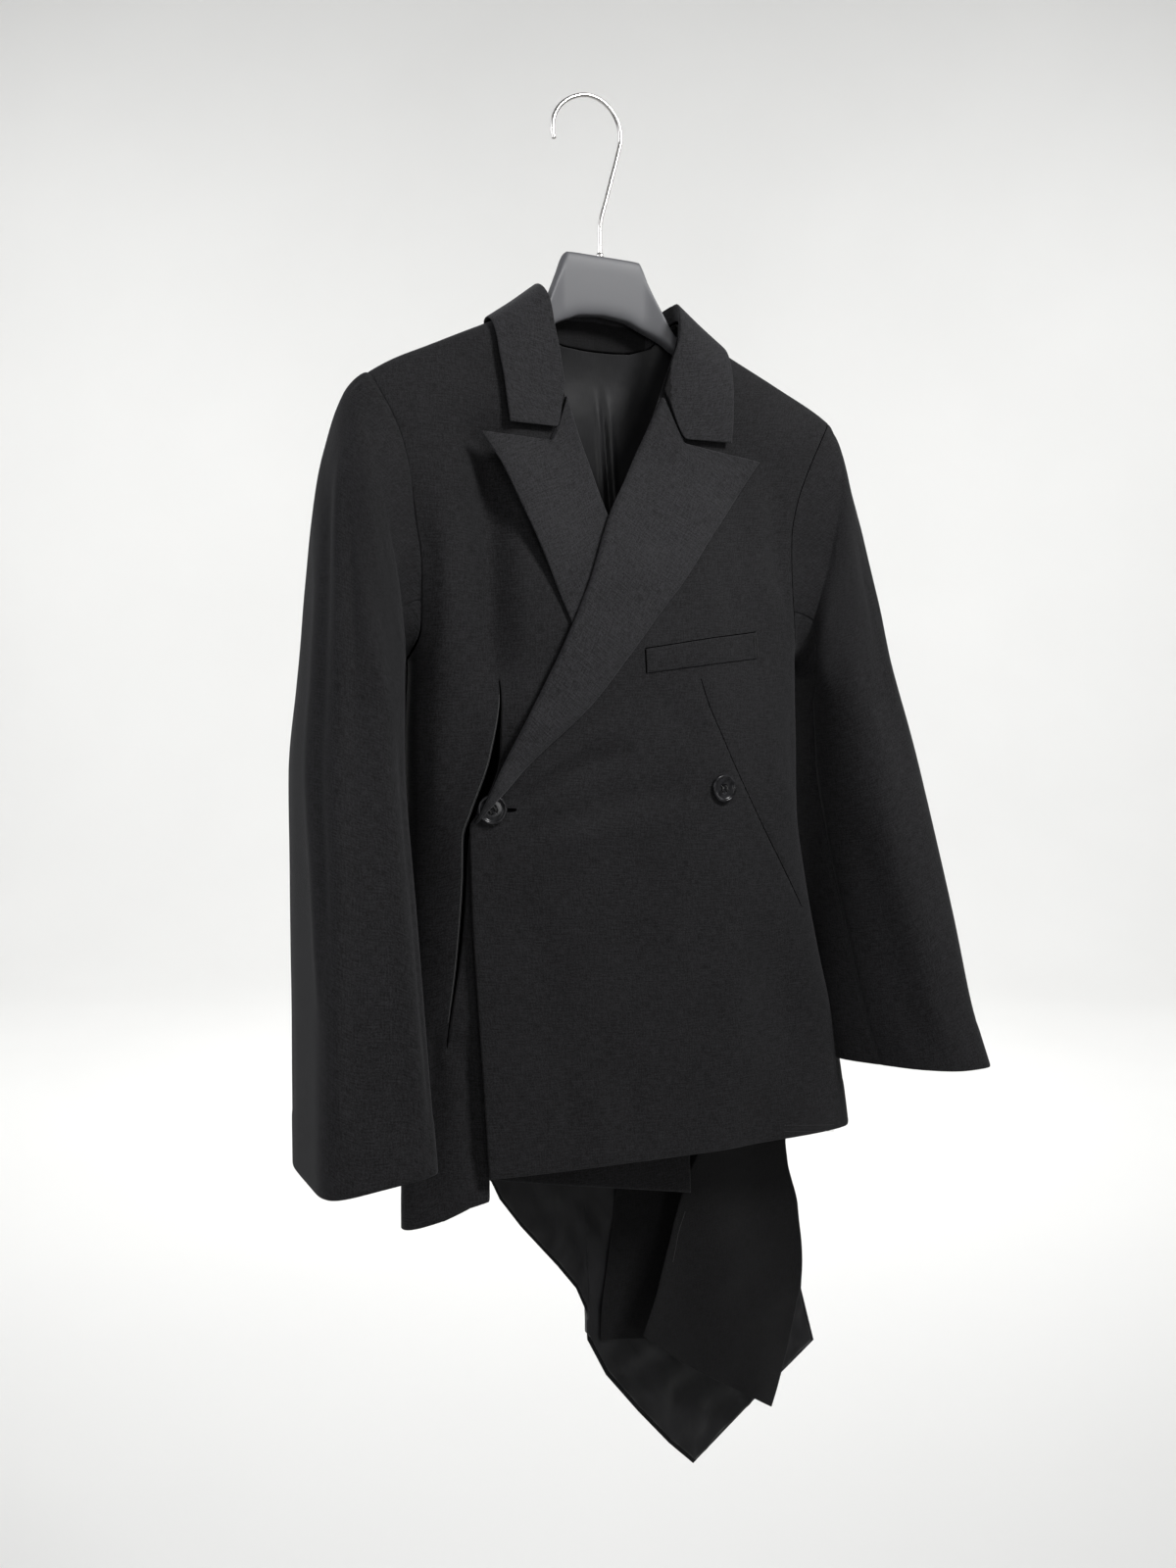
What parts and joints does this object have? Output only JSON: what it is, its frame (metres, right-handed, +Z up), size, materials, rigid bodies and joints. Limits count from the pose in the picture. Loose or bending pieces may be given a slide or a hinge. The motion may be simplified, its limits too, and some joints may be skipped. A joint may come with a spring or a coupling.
{
  "type": "asymmetric blazer on a hanger",
  "caption": "Dark asymmetric double-breasted blazer with peak lapels, a slit front and a long pointed back panel, hanging on a grey hanger with a wire hook.",
  "frame": {"origin": "inner top of the hanger's hook, where it rests on its rod or wall knob", "axes": "+Z up along the hanging blazer; -Y towards someone facing its front; +X to that person's right, which is the wearer's left"},
  "size_m": [0.5413, 0.1803, 1.1115],
  "materials": {
    "wool": "matte worsted wool, near black",
    "wool_facing": "matte worsted wool, pressed flat",
    "lining": "black satin with a soft sheen",
    "hanger_plastic": "soft matte grey",
    "hook_steel": "bright plated wire",
    "button_resin": "glossy dark resin"
  },
  "bodies": {
    "root": {"hanger_body": "hanger_plastic", "hanger_hook": "hook_steel", "back": "wool", "back_lining": "lining", "side_tail": "wool", "tail_underlap": "wool", "front_right": "wool", "front_left": "wool", "lapel_right": "wool_facing", "lapel_left": "wool_facing", "collar": "wool_facing", "sleeve_top_left": "wool", "sleeve_under_left": "wool", "sleeve_top_right": "wool", "sleeve_under_right": "wool", "welt_pocket": "wool", "button_inner": "button_resin", "button_edge": "button_resin"}
  },
  "joints": []
}
